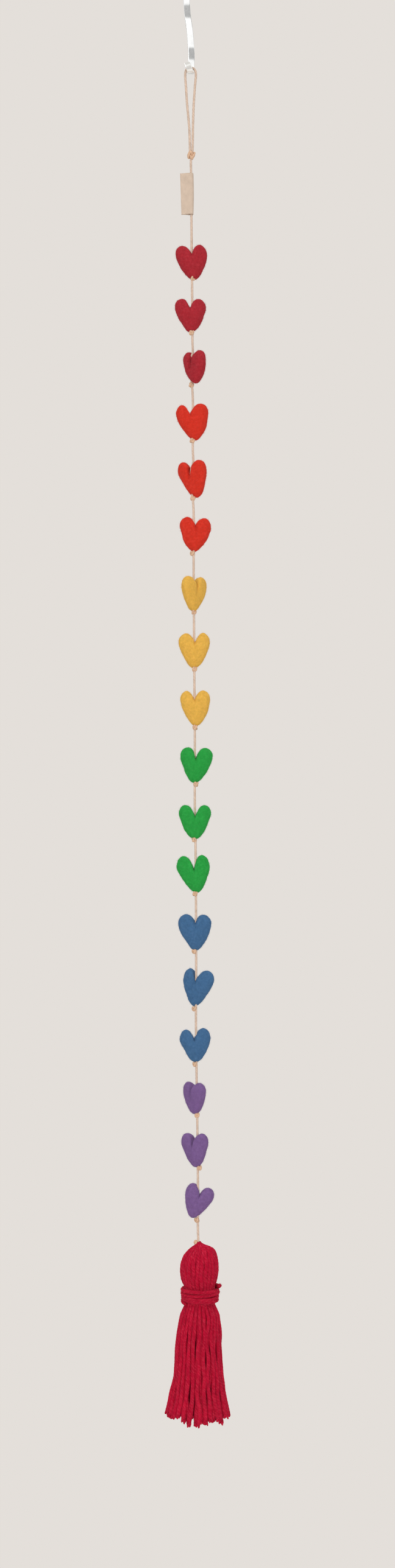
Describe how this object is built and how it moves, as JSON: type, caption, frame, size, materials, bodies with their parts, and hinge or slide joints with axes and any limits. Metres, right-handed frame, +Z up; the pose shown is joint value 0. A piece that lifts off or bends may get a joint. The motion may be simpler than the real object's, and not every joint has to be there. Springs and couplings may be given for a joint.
{
  "type": "felt heart garland on a hook",
  "caption": "Hanging garland of puffed felt hearts threaded notch to tip on a knotted cord, with a folded tag, a yarn tassel at its foot and the strip hook that holds it over an edge.",
  "frame": {"origin": "middle of the flat underside of the hook's top run, where the hook sits on the edge that holds it up", "axes": "+Z up along the hanging cord, the side that shows faces -Y, +X to the right as seen from there"},
  "size_m": [0.0446, 0.0613, 1.0896],
  "materials": {
    "hook_metal": "polished flat strip",
    "cord_cotton": "waxed natural cotton cord",
    "tag_tape": "smooth woven tape, bare",
    "felt_dark_red": "matted wool felt, fuzzy",
    "felt_orange_red": "matted wool felt, fuzzy",
    "felt_yellow": "matted wool felt, fuzzy",
    "felt_green": "matted wool felt, fuzzy",
    "felt_blue": "matted wool felt, fuzzy",
    "felt_purple": "matted wool felt, fuzzy",
    "yarn_crimson": "plied soft yarn"
  },
  "bodies": {
    "root": {"hook": "hook_metal", "cord": "cord_cotton", "tag": "tag_tape", "heart_01_dark_red": "felt_dark_red", "heart_02_dark_red": "felt_dark_red", "heart_03_dark_red": "felt_dark_red", "heart_04_orange_red": "felt_orange_red", "heart_05_orange_red": "felt_orange_red", "heart_06_orange_red": "felt_orange_red", "heart_07_yellow": "felt_yellow", "heart_08_yellow": "felt_yellow", "heart_09_yellow": "felt_yellow", "heart_10_green": "felt_green", "heart_11_green": "felt_green", "heart_12_green": "felt_green", "heart_13_blue": "felt_blue", "heart_14_blue": "felt_blue", "heart_15_blue": "felt_blue", "heart_16_purple": "felt_purple", "heart_17_purple": "felt_purple", "heart_18_purple": "felt_purple", "tassel": "yarn_crimson", "tassel_wrap": "yarn_crimson"}
  },
  "joints": []
}
